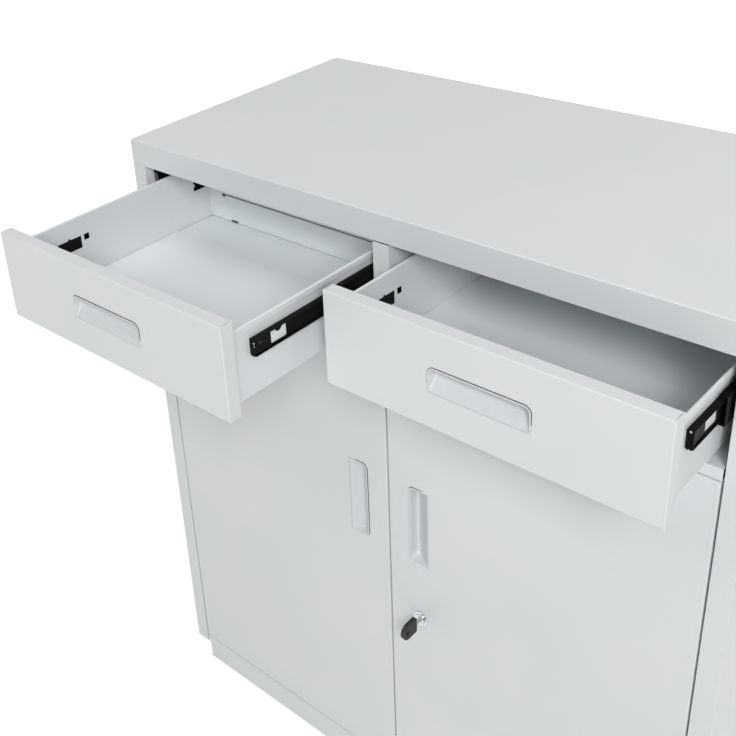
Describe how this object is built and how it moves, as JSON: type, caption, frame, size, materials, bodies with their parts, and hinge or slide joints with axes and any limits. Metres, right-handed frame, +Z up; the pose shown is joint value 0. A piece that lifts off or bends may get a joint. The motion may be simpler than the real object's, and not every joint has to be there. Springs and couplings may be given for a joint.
{
  "type": "filing cabinet",
  "caption": "Steel office cabinet with drawers on full-extension ball-bearing slides above a hinged-door cupboard with cup handles, a key lock with rods and an adjustable shelf.",
  "frame": {"origin": "on the floor, under the centre of the carcass's footprint", "axes": "+X to the right seen from the front, the front faces -Y, +Z up"},
  "size_m": [0.8, 0.622, 0.9],
  "materials": {
    "white_powder_coat": "satin powder coat",
    "inner_powder_coat": "satin powder coat",
    "black_slide_coat": "black electrophoretic coat",
    "zinc_plated_steel": "bright zinc plate",
    "chrome_plate": "polished",
    "handle_insert": "semi-gloss moulded",
    "rubber_black": "matt",
    "nylon_white": "matt",
    "key_bow_plastic": "fine texture"
  },
  "bodies": {
    "cabinet": {"top_cap": "white_powder_coat", "left_side_panel": "white_powder_coat", "right_side_panel": "white_powder_coat", "back_panel": "white_powder_coat", "bottom_panel": "white_powder_coat", "base_frame": "white_powder_coat", "mid_shelf": "white_powder_coat", "drawer_partition": "white_powder_coat", "left_runner_bracket": "black_slide_coat", "right_runner_bracket": "black_slide_coat", "shelf_uprights": "inner_powder_coat", "adjustable_shelf": "inner_powder_coat", "shelf_clips": "zinc_plated_steel", "door_bumpers": "rubber_black", "pivot_washers": "nylon_white", "carcass_screws": "zinc_plated_steel", "left_outer_rails": "black_slide_coat", "right_outer_rails": "black_slide_coat", "slide_screws": "zinc_plated_steel"},
    "left_middle_rails": {"left_middle_rails": "black_slide_coat"},
    "left_outer_cages": {"left_outer_cages": "zinc_plated_steel"},
    "left_inner_cages": {"left_inner_cages": "zinc_plated_steel"},
    "left_drawer": {"left_drawer_front": "white_powder_coat", "left_drawer_inner_front": "white_powder_coat", "left_drawer_left_side": "white_powder_coat", "left_drawer_right_side": "white_powder_coat", "left_drawer_back": "white_powder_coat", "left_drawer_floor": "white_powder_coat", "left_drawer_handle": "handle_insert", "left_drawer_rails": "black_slide_coat"},
    "right_middle_rails": {"right_middle_rails": "black_slide_coat"},
    "right_outer_cages": {"right_outer_cages": "zinc_plated_steel"},
    "right_inner_cages": {"right_inner_cages": "zinc_plated_steel"},
    "right_drawer": {"right_drawer_front": "white_powder_coat", "right_drawer_inner_front": "white_powder_coat", "right_drawer_left_side": "white_powder_coat", "right_drawer_right_side": "white_powder_coat", "right_drawer_back": "white_powder_coat", "right_drawer_floor": "white_powder_coat", "right_drawer_handle": "handle_insert", "right_drawer_rails": "black_slide_coat"},
    "left_door": {"left_door_panel": "white_powder_coat", "left_door_stiffener": "white_powder_coat", "left_door_handle": "handle_insert", "left_hinge_pins": "zinc_plated_steel"},
    "right_door": {"right_door_panel": "white_powder_coat", "right_door_stiffener": "white_powder_coat", "right_door_handle": "handle_insert", "right_hinge_pins": "zinc_plated_steel", "lock_body": "chrome_plate", "lock_nut": "zinc_plated_steel", "rod_guides": "zinc_plated_steel"},
    "plug": {"lock_plug": "chrome_plate", "lock_cam": "zinc_plated_steel"},
    "upper_rod": {"upper_rod": "zinc_plated_steel"},
    "lower_rod": {"lower_rod": "zinc_plated_steel"},
    "key": {"key_blade": "zinc_plated_steel", "key_bow": "key_bow_plastic"}
  },
  "joints": [
    {"name": "left_drawer_slide", "type": "slide", "parent": "cabinet", "child": "left_drawer", "axis": [0, -1, 0], "range_m": [-0.221, 0.029]},
    {"name": "left_middle_rails_slide", "type": "slide", "parent": "cabinet", "child": "left_middle_rails", "axis": [0, -1, 0], "range_m": [-0.1107, 0.0147]},
    {"name": "left_outer_cages_slide", "type": "slide", "parent": "cabinet", "child": "left_outer_cages", "axis": [0, -1, 0], "range_m": [-0.05545, 0.00745]},
    {"name": "left_inner_cages_slide", "type": "slide", "parent": "cabinet", "child": "left_inner_cages", "axis": [0, -1, 0], "range_m": [-0.16595, 0.02195]},
    {"name": "right_drawer_slide", "type": "slide", "parent": "cabinet", "child": "right_drawer", "axis": [0, -1, 0], "range_m": [-0.109, 0.141]},
    {"name": "right_middle_rails_slide", "type": "slide", "parent": "cabinet", "child": "right_middle_rails", "axis": [0, -1, 0], "range_m": [-0.0547, 0.0707]},
    {"name": "right_outer_cages_slide", "type": "slide", "parent": "cabinet", "child": "right_outer_cages", "axis": [0, -1, 0], "range_m": [-0.02745, 0.03545]},
    {"name": "right_inner_cages_slide", "type": "slide", "parent": "cabinet", "child": "right_inner_cages", "axis": [0, -1, 0], "range_m": [-0.08195, 0.10595]},
    {"name": "left_door_hinge", "type": "hinge", "parent": "cabinet", "child": "left_door", "pos_m": [-0.3655, -0.193, 0.401], "axis": [0, 0, -1], "range_deg": [0, 110]},
    {"name": "right_door_hinge", "type": "hinge", "parent": "cabinet", "child": "right_door", "pos_m": [0.3655, -0.193, 0.401], "axis": [0, 0, 1], "range_deg": [0, 110]},
    {"name": "upper_rod_slide", "type": "slide", "parent": "right_door", "child": "upper_rod", "axis": [0, 0, 1], "range_m": [0, 0.012]},
    {"name": "lower_rod_slide", "type": "slide", "parent": "right_door", "child": "lower_rod", "axis": [0, 0, -1], "range_m": [-0.0001, 0.0121]},
    {"name": "lock_turn", "type": "hinge", "parent": "right_door", "child": "plug", "pos_m": [0.04625, -0.2, 0.368], "axis": [0, -1, 0], "range_deg": [-0.2, 90.2]},
    {"name": "key_pull", "type": "slide", "parent": "plug", "child": "key", "axis": [0, -1, 0], "range_m": [0, 0.03]}
  ],
  "couplings": [
    {"joint": "left_middle_rails_slide", "follows": "left_drawer_slide", "ratio": 0.5},
    {"joint": "left_outer_cages_slide", "follows": "left_drawer_slide", "ratio": 0.25},
    {"joint": "left_inner_cages_slide", "follows": "left_drawer_slide", "ratio": 0.75},
    {"joint": "right_middle_rails_slide", "follows": "right_drawer_slide", "ratio": 0.5},
    {"joint": "right_outer_cages_slide", "follows": "right_drawer_slide", "ratio": 0.25},
    {"joint": "right_inner_cages_slide", "follows": "right_drawer_slide", "ratio": 0.75},
    {"joint": "lower_rod_slide", "follows": "upper_rod_slide", "ratio": 1},
    {"joint": "lock_turn", "follows": "upper_rod_slide", "rad_per_m": 130.9}
  ]
}
